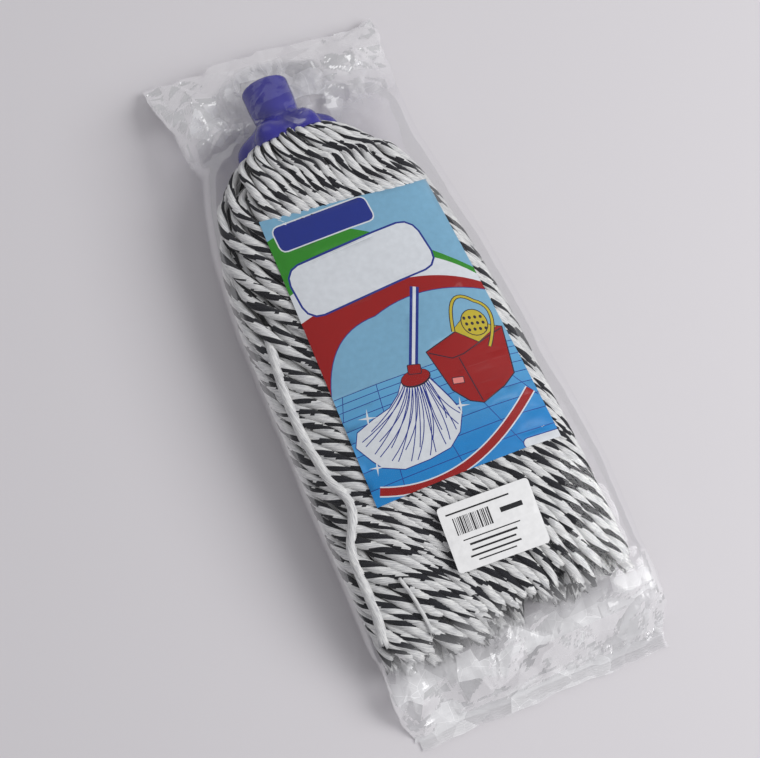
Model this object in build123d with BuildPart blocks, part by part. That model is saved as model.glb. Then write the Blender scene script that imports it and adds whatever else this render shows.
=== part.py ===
from build123d import *
import math
import os

# A string mop head packed in a clear film bag, lying on its back.
# +Z is up, +Y runs along the mop towards its screw socket, X is across.
# The origin is the middle of the bag's underside. All sizes are in millimetres.
os.makedirs("parts", exist_ok=True)

# ---- Driving dimensions ----
film = 0.25  # wall of the bag
air = 0.3  # smallest gap between the yarn and the film under it
weld_width = 7.0
bag_end = 226.0  # half the bag's length
weld_line = -bag_end + weld_width

socket_x = -9.0  # the socket stands a little off the bag's middle line
socket_z = 31.5
mouth_y = 197.5  # the end where the handle is screwed in
rim_y = 150.0  # the skirt's lower edge, where the yarn comes out
neck_radius = 15.3
neck_waist = 14.2
neck_foot_y = 172.0
lobes = 6
skirt_wall = 2.2

thread_minor = 9.6
thread_major = 11.0
thread_pitch = 5.08
bore_depth = 28.5
barb_room = 3.0  # depth of the narrower recess under the bore, where the barbs sit
barb_room_radius = 7.6
web = 3.0  # floor of the recess, which the plug's stem passes through
stem_hole = 5.2

plug_radius = 19.5
plug_top_y = 143.0
plug_thickness = 3.0
stem_radius = 4.9
barb = 0.9
slot = 1.6

yarn_squareness = 2.8  # exponent of the bundle's superellipse section
strand_end_left = -170.0
strand_end_right = -196.0
outer_hanks = 16
inner_hanks = 6
core_share = 0.5  # the inner layer's size beside the whole bundle's
twist_start_y = 120.0
twist_turns = 0.30  # how far the strands wind round the bundle by y = -190
twist_end_y = -190.0

insert_thickness = 0.2
insert_top, insert_bottom = 101.0, -91.0
insert_left, insert_right = (-49.0, -53.0), (58.0, 67.0)  # at the top, at the bottom
sticker_thickness = 0.15
sticker_left, sticker_right = -23.0, 35.0
sticker_bottom, sticker_top = -148.0, -108.0

# The yarn bundle along the mop: y, middle x, half width, half height.
# It leaves the skirt as a ring, turns over broad shoulders and thins out at its ends.
bundle_stations = (
    (149.5, socket_x, 32.0, 30.9),
    (145.0, -9.5, 42.0, 30.0),
    (138.0, -10.5, 50.5, 29.4),
    (127.0, -9.8, 60.0, 28.8),
    (115.0, -9.0, 66.8, 28.7),
    (100.0, -8.7, 71.2, 28.6),
    (50.0, -7.2, 77.8, 28.8),
    (0.0, -5.5, 80.5, 28.8),
    (-60.0, -5.0, 81.8, 28.0),
    (-110.0, -4.0, 82.8, 26.2),
    (-150.0, -3.0, 82.8, 22.0),
    (-175.0, -1.5, 82.5, 17.2),
    (-197.0, 0.0, 82.0, 10.6),
)

# The bag along the mop: y, middle x, half width, height, exponent of its section.
# Under 2 the film is pitched like a tent, over 2 it is filled out by the yarn.
bag_stations = (
    (bag_end, 0.0, 78.0, 10.0, 1.5),
    (212.0, 0.0, 77.0, 34.0, 1.5),
    (199.0, 0.0, 75.0, 50.0, 1.6),
    (178.0, 0.0, 71.0, 56.0, 1.9),
    (163.0, -0.5, 68.7, 64.0, 2.4),
    (150.0, -1.0, 69.0, 64.8, 2.7),
    (127.0, -4.5, 72.5, 62.8, 2.8),
    (100.0, -5.5, 78.0, 62.0, 2.8),
    (50.0, -4.5, 83.5, 62.0, 2.8),
    (0.0, -3.0, 85.8, 62.0, 2.8),
    (-60.0, -1.5, 88.6, 61.2, 2.9),
    (-108.0, 0.0, 89.6, 58.3, 2.9),
    (-128.0, 0.0, 89.6, 54.8, 2.9),
    (-148.0, 0.0, 89.6, 50.0, 2.9),
    (-175.0, 0.0, 89.0, 39.5, 2.8),
    (-198.0, 0.0, 88.0, 25.0, 2.6),
    (-211.0, 0.0, 84.5, 8.0, 2.2),
    (weld_line, 0.0, 81.0, 1.2, 2.0),
)


def along(stations, y):
    """The sizes at y, in proportion between the two stations beside it."""
    for upper, lower in zip(stations, stations[1:]):
        if upper[0] >= y >= lower[0]:
            share = (upper[0] - y) / (upper[0] - lower[0])
            return [u + share * (v - u) for u, v in zip(upper[1:], lower[1:])]
    raise ValueError(f"no station reaches y = {y}")


def superellipse(half_width, half_height, squareness, angle):
    """A point of the rounded section, with angle 0 at +X and a quarter turn at +Z."""
    c, s = math.cos(angle), math.sin(angle)
    power = 2 / squareness
    return (
        half_width * math.copysign(abs(c) ** power, c),
        half_height * math.copysign(abs(s) ** power, s),
    )


def bundle_middle(y):
    """The height of the bundle's middle line above the ground."""
    return film + air + along(bundle_stations, y)[2]


def yarn_point(y, share, depth):
    """A point in the bundle's section: share of the way round from +X, depth 1 at the outside."""
    middle_x, half_width, half_height = along(bundle_stations, y)
    steps = 240
    outline = [
        superellipse(half_width, half_height, yarn_squareness, 2 * math.pi * i / steps)
        for i in range(steps + 1)
    ]
    target = (share % 1.0) * sum(math.dist(p, q) for p, q in zip(outline, outline[1:]))
    for p, q in zip(outline, outline[1:]):
        step = math.dist(p, q)
        if target <= step:
            break
        target -= step
    part = target / step
    x = p[0] + part * (q[0] - p[0])
    z = p[1] + part * (q[1] - p[1])
    return middle_x + depth * x, bundle_middle(y) + depth * z


def twist(y):
    """How far round the strands have wound at y, as a share of the way round."""
    done = (twist_start_y - y) / (twist_start_y - twist_end_y)
    return twist_turns * min(max(done, 0.0), 1.1)


def bag_height(x, y):
    """The height of the bag's outer face over the yarn."""
    middle_x, half_width, height, squareness = along(bag_stations, y)
    bulge = (1 - abs((x - middle_x) / half_width) ** squareness) ** (1 / squareness)
    return height / 2 * (1 + bulge)


def yarn_height(x, y, gap):
    """The height of a sheet that lies on the yarn, gap above it."""
    middle_x, half_width, half_height = along(bundle_stations, y)
    reach = abs((x - middle_x) / (half_width + gap)) ** yarn_squareness
    bulge = (1 - reach) ** (1 / yarn_squareness)
    return bundle_middle(y) + (half_height + gap) * bulge


socket_axis = Axis((socket_x, 0, socket_z), (0, 1, 0))
across_socket = Plane((socket_x, 0, socket_z), x_dir=(1, 0, 0), z_dir=(0, 1, 0))


# ---- Screw socket: threaded neck and lobed skirt, moulded in one ----
def lobed_section(y, radius, wave):
    """A closed petal outline on the plane across the socket at y."""
    with BuildSketch(across_socket.offset(y)) as section:
        with BuildLine():
            count = 8 * lobes
            turns = [2 * math.pi * i / count for i in range(count)]
            petals = [radius + wave * math.cos(lobes * t) for t in turns]
            points = [(r * math.cos(t), r * math.sin(t)) for r, t in zip(petals, turns)]
            Spline(*points, periodic=True)
        make_face()
    return section.sketch


# The skirt's outside from its lower edge up to the neck: y, mean radius, lobe height.
skirt_stations = (
    (rim_y, 30.3, 3.2),
    (rim_y + 6, 30.0, 3.6),
    (rim_y + 12, 26.5, 4.2),
    (rim_y + 17, 20.5, 2.6),
    (neck_foot_y, 15.0, 0.4),
)

with BuildPart() as screw_socket:
    for y, radius, wave in skirt_stations:
        add(lobed_section(y, radius, wave))
    loft()
    bore_floor_y = mouth_y - bore_depth
    recess_floor_y = bore_floor_y - barb_room
    web_y = recess_floor_y - web
    for y, radius, wave in skirt_stations[:3]:
        add(lobed_section(min(y, web_y - 0.4), radius - skirt_wall, wave))
    loft(mode=Mode.SUBTRACT)
    with BuildSketch(Plane.XY.offset(socket_z)):
        with BuildLine():
            Polyline(
                (socket_x, web_y),
                (socket_x + neck_waist, web_y),
                (socket_x + neck_waist, neck_foot_y + 2),
            )
            Spline(
                (socket_x + neck_waist, neck_foot_y + 2),
                (socket_x + neck_radius - 0.3, neck_foot_y + 9),
                (socket_x + neck_radius, mouth_y - 9),
                (socket_x + neck_radius, mouth_y),
            )
            Polyline(
                (socket_x + neck_radius, mouth_y),
                (socket_x, mouth_y),
                (socket_x, web_y),
            )
        make_face()
    revolve(axis=socket_axis)
    fillet(screw_socket.edges().group_by(Axis.Y)[-1], 2.8)
    with BuildSketch(across_socket.offset(mouth_y)):
        Circle(thread_minor)
    extrude(amount=-bore_depth, mode=Mode.SUBTRACT)
    with BuildSketch(across_socket.offset(bore_floor_y)):
        Circle(barb_room_radius)
    extrude(amount=-barb_room, mode=Mode.SUBTRACT)
    with BuildSketch(across_socket.offset(recess_floor_y)):
        Circle(stem_hole)
    extrude(amount=-2 * web, mode=Mode.SUBTRACT)
    # Lead-in of the bore, then the round-bottomed helical groove.
    with BuildSketch(Plane.XY.offset(socket_z)):
        with BuildLine():
            Polyline(
                (socket_x, mouth_y),
                (socket_x + thread_major + 0.6, mouth_y),
                (socket_x + thread_minor, mouth_y - 2.0),
                (socket_x, mouth_y - 2.0),
                close=True,
            )
        make_face()
    revolve(axis=socket_axis, mode=Mode.SUBTRACT)
    groove_start = bore_floor_y + 3.0
    with BuildLine() as thread_path:
        Helix(
            pitch=thread_pitch,
            height=bore_depth - 3.0 + 0.5 * thread_pitch,
            radius=thread_minor,
            center=(socket_x, groove_start, socket_z),
            direction=(0, 1, 0),
        )
    groove_plane = Plane(thread_path.line @ 0, z_dir=thread_path.line % 0)
    with BuildSketch(groove_plane):
        Circle(thread_major - thread_minor)
    sweep(path=thread_path.line, is_frenet=True, mode=Mode.SUBTRACT)
    # Grip ribs under the floor bite into the folded yarn.
    with BuildSketch(across_socket.offset(web_y)):
        with PolarLocations(15.5, lobes):
            Rectangle(14, 1.6)
    extrude(amount=-1.2)
screw_socket.part.label = "screw_socket"
export_step(screw_socket.part, "parts/screw_socket.step")

# ---- Clamp plug: a disc that holds the yarn up, with a split barbed stem ----
barb_seat_y = recess_floor_y + 0.3
stem_tip_y = bore_floor_y - 0.3
with BuildPart() as clamp_plug:
    with BuildSketch(Plane.XY.offset(socket_z)):
        with BuildLine():
            foot_y = plug_top_y - plug_thickness
            Polyline(
                (socket_x, foot_y),
                (socket_x + plug_radius, foot_y),
                (socket_x + plug_radius, plug_top_y),
                (socket_x + stem_radius, plug_top_y),
                (socket_x + stem_radius, barb_seat_y),
                (socket_x + stem_radius + barb, barb_seat_y + 0.4),
                (socket_x + stem_radius - 0.8, stem_tip_y),
                (socket_x, stem_tip_y),
                close=True,
            )
        make_face()
    revolve(axis=socket_axis)
    fillet(clamp_plug.edges().group_by(Axis.Y)[0], 1.2)
    with BuildSketch(across_socket.offset(barb_seat_y + 5)):
        Rectangle(slot, 3 * stem_radius)
        Rectangle(3 * stem_radius, slot)
    extrude(amount=-14, mode=Mode.SUBTRACT)
    with BuildSketch(across_socket.offset(plug_top_y)):
        with PolarLocations(13, lobes, start_angle=30):
            Rectangle(9, 1.6)
    extrude(amount=1.0)
clamp_plug.part.label = "clamp_plug"
export_step(clamp_plug.part, "parts/clamp_plug.step")

# ---- The folded middles of the strands, squeezed between floor and plug ----
core_low_y = plug_top_y + 1.3
core_high_y = web_y - 1.5
with BuildPart() as folded_yarn:
    with BuildSketch(Plane.XY.offset(socket_z)):
        with BuildLine():
            Polyline(
                (socket_x + stem_radius + 0.4, core_low_y),
                (socket_x + 22.0, core_low_y),
                (socket_x + 23.8, core_low_y + 4),
                (socket_x + 23.8, core_high_y - 7),
                (socket_x + 19.0, core_high_y),
                (socket_x + stem_radius + 0.4, core_high_y),
                close=True,
            )
        make_face()
    revolve(axis=socket_axis)
folded_yarn.part.label = "folded_yarn"
export_step(folded_yarn.part, "parts/folded_yarn.step")


# ---- Yarn hanks: each one stands for the strands of its share of the bundle ----
def hank_outline(y, first, last, deep, shallow):
    """Points round one hank's section, between two shares of the way round the bundle."""
    middle = (deep + shallow) / 2
    corners = (
        (0.13, 0.985 * shallow),
        (0.50, 0.995 * shallow),
        (0.87, 0.985 * shallow),
        (0.97, middle),
        (0.84, 1.03 * deep),
        (0.50, deep),
        (0.16, 1.03 * deep),
        (0.03, middle),
    )
    wound = first - twist(y)
    return [yarn_point(y, wound + (last - first) * across, depth) for across, depth in corners]


def hank_end(first, last):
    """The yarn is longer on the right of the bag than on the left."""
    x = yarn_point(twist_end_y, (first + last) / 2 - twist(twist_end_y), 1)[0]
    right = 0.5 + 0.5 * math.sin(math.pi / 2 * max(-1.0, min(1.0, x / 84)))
    return strand_end_left + (strand_end_right - strand_end_left) * right


def make_hank(name, first, last, depths, levels):
    """Lofts one hank down through the levels, with its own deep and shallow face at each."""
    with BuildPart() as hank:
        for y, (deep, shallow) in zip(levels, depths):
            with BuildSketch(Plane.XZ.offset(-y)):
                with BuildLine():
                    Polyline(*hank_outline(y, first, last, deep, shallow), close=True)
                make_face()
        loft(ruled=True)
    hank.part.label = name
    export_step(hank.part, f"parts/{name}.step")
    return hank.part


# The outer layer stays clear of the plug near the socket, so its inner face starts far out.
outer_levels = (149.5, 145.0, 138.0, 127.0, 100.0, 62.0, 24.0, -14.0, -52.0, -90.0, -128.0, -155.0)
outer_inside = (0.82, 0.82, 0.80, 0.70, 0.56) + (0.52,) * 7
for i in range(outer_hanks):
    first, last = i / outer_hanks, (i + 1) / outer_hanks
    levels = outer_levels + (hank_end(first, last),)
    depths = [(inside, 1.0) for inside in outer_inside + (0.52,)]
    make_hank(f"outer_hank_{i + 1:02d}", first, last, depths, levels)

inner_levels = (136.0, 127.0, 100.0, 62.0, 24.0, -14.0, -52.0, -90.0, -128.0, -155.0)
for i in range(inner_hanks):
    first, last = i / inner_hanks, (i + 1) / inner_hanks
    levels = inner_levels + (hank_end(first, last) + 6,)
    depths = [(0.08, core_share - 0.015)] * len(levels)
    make_hank(f"inner_hank_{i + 1}", first, last, depths, levels)


# ---- Bag: a film tube with an open mouth at the socket and a welded bottom ----
def bag_section(y, middle_x, half_width, height, squareness, inset):
    """The bag's closed outline at y, moved inwards by inset."""
    with BuildSketch(Plane.XZ.offset(-y)) as section:
        with BuildLine():
            count = 36
            turns = [2 * math.pi * i / count for i in range(count)]
            half_height = height / 2 - inset
            points = [
                superellipse(half_width - inset, half_height, squareness, t) for t in turns
            ]
            Spline(*[(middle_x + x, height / 2 + z) for x, z in points], periodic=True)
        make_face()
    return section.sketch


with BuildPart() as bag_film:
    for station in bag_stations:
        add(bag_section(*station, inset=0))
    loft()
    for station in bag_stations:
        add(bag_section(*station, inset=film))
    loft(mode=Mode.SUBTRACT)
bag_film.part.label = "bag_film"
export_step(bag_film.part, "parts/bag_film.step")

with BuildPart() as bag_weld:
    with BuildSketch(Plane.XY.offset(film)):
        with Locations((0, (weld_line - bag_end) / 2)):
            Rectangle(161, weld_width - 0.1)
    extrude(amount=2 * film)
bag_weld.part.label = "bag_weld"
export_step(bag_weld.part, "parts/bag_weld.step")


# ---- Printed insert between yarn and film, and the sticker on the film ----
def sheet_section(y, left, right, thickness, height_at):
    """A thin strip across the bag at y whose underside follows height_at(x, y)."""
    steps = 8
    xs = [left + (right - left) * i / steps for i in range(steps + 1)]
    under = [(x, height_at(x, y)) for x in xs]
    over = [(x, z + thickness) for x, z in under]
    with BuildSketch(Plane.XZ.offset(-y)) as section:
        with BuildLine():
            Spline(*under)
            Line(under[-1], over[-1])
            Spline(*over[::-1])
            Line(over[0], under[0])
        make_face()
    return section.sketch


insert_lift = 0.6  # the paper lies over the highest strands
sticker_lift = 0.25
with BuildPart() as label_insert:
    steps = 6
    for i in range(steps + 1):
        y = insert_top + (insert_bottom - insert_top) * i / steps
        left, right = (side[0] + (side[1] - side[0]) * i / steps for side in (insert_left, insert_right))
        add(
            sheet_section(
                y,
                left,
                right,
                insert_thickness,
                lambda x, y: yarn_height(x, y, insert_lift),
            )
        )
    loft()
label_insert.part.label = "label_insert"
export_step(label_insert.part, "parts/label_insert.step")

with BuildPart() as price_sticker:
    for y in (sticker_top, (sticker_top + sticker_bottom) / 2, sticker_bottom):
        add(
            sheet_section(
                y,
                sticker_left,
                sticker_right,
                sticker_thickness,
                lambda x, y: bag_height(x, y) + sticker_lift,
            )
        )
    loft()
price_sticker.part.label = "price_sticker"
export_step(price_sticker.part, "parts/price_sticker.step")
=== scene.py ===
"""A string mop head packed in a clear film bag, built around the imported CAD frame.

Lengths are worked out in millimetres and turned into metres when a mesh is made.
+Z is up, +Y runs along the mop towards its screw socket, X is across.
"""
import math

import bpy
import numpy as np
from mathutils import Matrix, Vector
from mathutils.geometry import delaunay_2d_cdt


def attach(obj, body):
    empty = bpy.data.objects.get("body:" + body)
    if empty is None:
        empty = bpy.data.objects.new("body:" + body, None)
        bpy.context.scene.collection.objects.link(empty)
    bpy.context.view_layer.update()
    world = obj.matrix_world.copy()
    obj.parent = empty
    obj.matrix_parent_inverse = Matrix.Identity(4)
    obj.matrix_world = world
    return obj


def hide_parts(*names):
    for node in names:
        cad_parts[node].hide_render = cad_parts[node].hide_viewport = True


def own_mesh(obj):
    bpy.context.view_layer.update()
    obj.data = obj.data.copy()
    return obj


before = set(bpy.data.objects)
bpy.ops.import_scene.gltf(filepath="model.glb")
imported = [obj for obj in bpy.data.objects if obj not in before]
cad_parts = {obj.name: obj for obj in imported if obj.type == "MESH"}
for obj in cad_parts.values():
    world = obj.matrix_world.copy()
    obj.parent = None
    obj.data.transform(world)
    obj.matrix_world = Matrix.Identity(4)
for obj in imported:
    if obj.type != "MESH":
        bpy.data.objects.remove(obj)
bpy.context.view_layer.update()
random = np.random.default_rng(11)

MM = 0.001

# ---- The bundle of yarn: y, middle x, half width, half height ----
BUNDLE = np.array(
    [
        (149.5, -9.0, 31.0, 30.9),
        (145.0, -9.5, 42.0, 30.0),
        (138.0, -10.5, 50.5, 29.4),
        (127.0, -9.8, 60.0, 28.8),
        (115.0, -9.0, 66.8, 28.7),
        (100.0, -8.7, 71.2, 28.6),
        (50.0, -7.2, 77.8, 28.8),
        (0.0, -5.5, 80.5, 28.8),
        (-60.0, -5.0, 81.8, 28.0),
        (-110.0, -4.0, 82.8, 26.2),
        (-150.0, -3.0, 82.8, 22.0),
        (-175.0, -1.5, 82.5, 17.2),
        (-197.0, 0.0, 82.0, 10.6),
        (-215.0, 0.0, 81.0, 7.0),
    ]
)
BUNDLE_SQUARENESS = 2.8
GROUND_GAP = 0.55  # film and air under the yarn
SOCKET_X, SOCKET_Z = -9.0, 31.5
RIM_Y = 150.0

STRANDS = 146
STRAND_RADIUS = 3.5
RING_RADIUS = 2.6  # a strand's radius where it is squeezed in the skirt
FULL_RADIUS_Y = 95.0  # from here down the strands are as thick as they get
PITCH = 47.0  # one turn of the threads along a strand
LOBES = 16  # threads round a strand
BLACK_WIDTH = 3.0  # threads in each of a strand's two dark groups
BAND_SPACING = 10.7  # between dark bands that run on from strand to strand
BAND_NORMAL = (0.70, 0.71)
TWIST_START_Y, TWIST_END_Y, TWIST_TURNS = 120.0, -190.0, 0.38
SHOULDER_Y = 127.0
LEVEL_STEP = 8.0
OUTWARD = 1.03  # how hard the strands press outwards from one level to the next
TUCK_EVERY = 4  # each fourth outer strand starts under its neighbours in the skirt

# ---- The bag: y, middle x, half width, height, exponent of its section ----
BAG = np.array(
    [
        (226.0, 0.0, 78.0, 10.0, 1.5),
        (212.0, 0.0, 77.0, 30.0, 1.5),
        (199.0, 0.0, 75.0, 47.0, 1.6),
        (178.0, 0.0, 71.0, 55.0, 1.9),
        (163.0, -0.5, 68.7, 63.0, 2.4),
        (150.0, -1.0, 69.0, 64.3, 2.7),
        (127.0, -4.5, 72.5, 62.3, 2.8),
        (100.0, -5.5, 78.0, 61.4, 2.8),
        (50.0, -4.5, 83.5, 61.4, 2.8),
        (0.0, -3.0, 85.8, 61.4, 2.8),
        (-60.0, -1.5, 88.6, 60.4, 2.9),
        (-108.0, 0.0, 89.6, 57.3, 2.9),
        (-128.0, 0.0, 89.6, 53.8, 2.9),
        (-148.0, 0.0, 89.6, 49.0, 2.9),
        (-175.0, 0.0, 89.0, 38.5, 2.8),
        (-198.0, 0.0, 88.0, 24.5, 2.6),
        (-211.0, 0.0, 84.5, 8.0, 2.2),
        (-219.0, 0.0, 81.0, 1.6, 2.0),
    ]
)
WELD_Y, BAG_END_Y = -219.0, -226.0
FILM_GIRTH = 400.0  # once round the bag, about

# ---- The insert and the sticker ----
INSERT_WIDTH, INSERT_LENGTH = 118.0, 193.0  # the insert lying flat
INSERT_LIFT = 0.8
STICKER_WIDTH, STICKER_LENGTH = 58.0, 40.0
STICKER_MIDDLE = (6.0, -128.0)
STICKER_TURN = -2.5  # degrees


def linear(*rgb):
    """A colour given as 0 to 255 display values, as the shader wants it."""
    values = [c / 255 for c in rgb]
    out = [c / 12.92 if c <= 0.04045 else ((c + 0.055) / 1.055) ** 2.4 for c in values]
    return (*out, 1.0)


# ---- Camera, floor and light ----
def place_camera():
    azimuth, elevation = math.radians(-23.0), math.radians(71.5)
    target = Vector((-0.013, -0.001, 0.0))
    back = Vector(
        (
            math.sin(azimuth) * math.cos(elevation),
            -math.cos(azimuth) * math.cos(elevation),
            math.sin(elevation),
        )
    )
    data = bpy.data.cameras.new("camera")
    data.sensor_width = 36.0
    data.lens = 137.2
    camera = bpy.data.objects.new("camera", data)
    bpy.context.scene.collection.objects.link(camera)
    camera.location = target + back * 1.8
    right = Vector((math.cos(azimuth), math.sin(azimuth), 0.0))
    up = back.cross(right)
    turn = Matrix((right, up, back)).transposed()
    camera.rotation_euler = turn.to_euler()
    data.clip_start, data.clip_end = 0.05, 50.0
    bpy.context.scene.camera = camera


def area_light(name, place, aim, size, power, colour=(1.0, 1.0, 1.0)):
    data = bpy.data.lights.new(name, "AREA")
    data.shape = "RECTANGLE"
    data.size, data.size_y = size
    data.energy = power
    data.color = colour
    light = bpy.data.objects.new(name, data)
    bpy.context.scene.collection.objects.link(light)
    light.location = place
    light.rotation_euler = (Vector(aim) - Vector(place)).to_track_quat("-Z", "Y").to_euler()


def material(name):
    made = bpy.data.materials.new(name)
    made.use_nodes = True
    tree = made.node_tree
    return made, tree, tree.nodes["Principled BSDF"]


def put(node, **values):
    """Set a node's sockets by name, with _ for the spaces."""
    for name, value in values.items():
        node.inputs[name.replace("_", " ")].default_value = value


def noise(tree, vector, scale, detail, roughness=0.5):
    node = tree.nodes.new("ShaderNodeTexNoise")
    put(node, Scale=scale, Detail=detail, Roughness=roughness)
    tree.links.new(vector, node.inputs["Vector"])
    return node.outputs["Fac"]


def voronoi(tree, vector, scale, feature="F1"):
    node = tree.nodes.new("ShaderNodeTexVoronoi")
    node.feature = feature
    put(node, Scale=scale)
    tree.links.new(vector, node.inputs["Vector"])
    return node.outputs["Color" if feature == "F1" else "Distance"]


def ramp(tree, value, *stops):
    """The value turned into a colour that runs between two stops."""
    node = tree.nodes.new("ShaderNodeValToRGB")
    for k, (position, colour) in enumerate(stops):
        node.color_ramp.elements[k].position = position
        node.color_ramp.elements[k].color = colour
    tree.links.new(value, node.inputs["Fac"])
    return node.outputs["Color"]


def mapped(tree, value, before, after=(0.0, 1.0)):
    """The value moved from one span to the other and kept inside it."""
    node = tree.nodes.new("ShaderNodeMapRange")
    put(node, From_Min=before[0], From_Max=before[1], To_Min=after[0], To_Max=after[1])
    tree.links.new(value, node.inputs["Value"])
    return node.outputs["Result"]


def combined(tree, operation, first, second):
    node = tree.nodes.new("ShaderNodeMath")
    node.operation = operation
    tree.links.new(first, node.inputs[0])
    tree.links.new(second, node.inputs[1])
    return node.outputs["Value"]


def roughened(tree, shader, height, strength, distance):
    node = tree.nodes.new("ShaderNodeBump")
    put(node, Strength=strength, Distance=distance)
    tree.links.new(height, node.inputs["Height"])
    tree.links.new(node.outputs["Normal"], shader.inputs["Normal"])


def set_stage():
    made, _, shader = material("floor")
    shader.inputs["Base Color"].default_value = linear(214, 211, 214)
    shader.inputs["Roughness"].default_value = 0.9
    bpy.ops.mesh.primitive_plane_add(size=8.0, location=(0, 0, -0.0002))
    floor = bpy.context.object
    floor.name = "floor"
    floor.data.materials.append(made)
    world = bpy.data.worlds.new("studio")
    bpy.context.scene.world = world
    world.use_nodes = True
    background = world.node_tree.nodes["Background"]
    background.inputs["Color"].default_value = (0.97, 0.965, 1.0, 1.0)
    background.inputs["Strength"].default_value = 0.43
    area_light("key", (1.25, -0.62, 1.35), (0.1, -0.1, 0), (1.2, 1.2), 28)
    area_light("back", (0.1, 1.7, 1.1), (0, 0, 0), (1.6, 0.9), 3.0)
    bpy.context.scene.view_settings.view_transform = "Standard"


# ---- Mesh helpers ----
def make_object(name, points, faces, materials, face_slots=None, uvs=None, smooth=True):
    """A mesh object from points in millimetres. uvs hold one pair for each face corner."""
    mesh = bpy.data.meshes.new(name)
    mesh.from_pydata([], [], [])
    points = np.asarray(points, np.float32) * MM
    faces = [np.asarray(f, np.int32) for f in faces] if isinstance(faces, list) else faces
    if isinstance(faces, np.ndarray):
        corner_count = np.full(len(faces), faces.shape[1], np.int32)
        corners = faces.ravel()
    else:
        corner_count = np.array([len(f) for f in faces], np.int32)
        corners = np.concatenate(faces)
    mesh.vertices.add(len(points))
    mesh.vertices.foreach_set("co", points.ravel())
    mesh.loops.add(len(corners))
    mesh.loops.foreach_set("vertex_index", corners.astype(np.int32))
    mesh.polygons.add(len(corner_count))
    starts = np.concatenate([[0], np.cumsum(corner_count)[:-1]]).astype(np.int32)
    mesh.polygons.foreach_set("loop_start", starts)
    mesh.polygons.foreach_set("loop_total", corner_count)
    for m in materials:
        mesh.materials.append(m)
    if face_slots is not None:
        mesh.polygons.foreach_set("material_index", np.asarray(face_slots, np.int32))
    mesh.polygons.foreach_set("use_smooth", np.full(len(corner_count), smooth, bool))
    if uvs is not None:
        layer = mesh.uv_layers.new(name="UVMap")
        layer.data.foreach_set("uv", np.asarray(uvs, np.float32).ravel())
    mesh.update(calc_edges=True)
    mesh.validate()
    made = bpy.data.objects.new(name, mesh)
    bpy.context.scene.collection.objects.link(made)
    return made


# ---- The bundle's section ----
def section(y):
    """Middle x, half width, half height and middle z of the bundle at y."""
    ys = BUNDLE[::-1, 0]
    middle_x, half_width, half_height = (np.interp(y, ys, BUNDLE[::-1, k]) for k in (1, 2, 3))
    return middle_x, half_width, half_height, GROUND_GAP + half_height


def outline_table(half_width, half_height):
    """Points round the section from +X, anticlockwise, with their share of its length."""
    turns = np.linspace(0, 2 * math.pi, 361)
    c, s = np.cos(turns), np.sin(turns)
    power = 2 / BUNDLE_SQUARENESS
    x = half_width * np.sign(c) * np.abs(c) ** power
    z = half_height * np.sign(s) * np.abs(s) ** power
    length = np.concatenate([[0], np.cumsum(np.hypot(np.diff(x), np.diff(z)))])
    return x, z, length / length[-1], length[-1]


def to_share(x, z, y):
    """Share of the way round and depth (1 at the outside) of points in the section at y."""
    middle_x, a, b, middle_z = section(y)
    u, v = (x - middle_x) / a, (z - middle_z) / b
    depth = (np.abs(u) ** BUNDLE_SQUARENESS + np.abs(v) ** BUNDLE_SQUARENESS) ** (
        1 / BUNDLE_SQUARENESS
    )
    safe = np.maximum(depth, 1e-6)
    power = BUNDLE_SQUARENESS / 2
    turn = np.arctan2(
        np.sign(v) * np.abs(v / safe) ** power, np.sign(u) * np.abs(u / safe) ** power
    )
    _, _, share, _ = outline_table(a, b)
    return np.interp(turn % (2 * math.pi), np.linspace(0, 2 * math.pi, 361), share), depth


def from_share(share, depth, y):
    middle_x, a, b, middle_z = section(y)
    ox, oz, table, _ = outline_table(a, b)
    x = np.interp(share % 1.0, table, ox)
    z = np.interp(share % 1.0, table, oz)
    return middle_x + depth * x, middle_z + depth * z


def bundle_top(x, y):
    """The height of the bundle's upper side over x, y."""
    middle_x, a, b, middle_z = section(y)
    u = np.clip(np.abs((x - middle_x) / a), 0, 1)
    return middle_z + b * (1 - u**BUNDLE_SQUARENESS) ** (1 / BUNDLE_SQUARENESS)


def twist(y):
    done = (TWIST_START_Y - y) / (TWIST_START_Y - TWIST_END_Y)
    return TWIST_TURNS * min(max(done, 0.0), 1.1)


def smooth_step(value):
    value = np.clip(value, 0, 1)
    return value * value * (3 - 2 * value)


def radius_at(y):
    full = smooth_step((RIM_Y - y) / (RIM_Y - FULL_RADIUS_Y))
    return RING_RADIUS + (STRAND_RADIUS - RING_RADIUS) * full


def confine(x, z, y, margin):
    """Moves points that are outside the section, less a margin, back to its edge."""
    middle_x, a, b, middle_z = section(y)
    u, v = (x - middle_x) / (a - margin), (z - middle_z) / (b - margin)
    out = (np.abs(u) ** BUNDLE_SQUARENESS + np.abs(v) ** BUNDLE_SQUARENESS) ** (
        1 / BUNDLE_SQUARENESS
    )
    shrink = 1 / np.maximum(out, 1.0)
    return middle_x + u * shrink * (a - margin), middle_z + v * shrink * (b - margin)


def relax(x, z, y, rounds, active):
    """Pushes strands that overlap apart, and keeps them all in the section."""
    radius = radius_at(y)
    for _ in range(rounds):
        dx, dz = x[:, None] - x[None, :], z[:, None] - z[None, :]
        distance = np.sqrt(dx * dx + dz * dz) + 1e-6
        push = np.clip(2 * radius * 0.97 - distance, 0, None) * active[None, :]
        np.fill_diagonal(push, 0)
        x = x + 0.32 * (push * dx / distance).sum(1)
        z = z + 0.32 * (push * dz / distance).sum(1)
        x, z = confine(x, z, y, radius)
    return x, z


def end_of_strand(x):
    """The lowest that a strand at x reaches."""
    return -181.0 + 4.0 * np.sin(math.pi / 2 * np.clip(x / 84, -1, 1))


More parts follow.
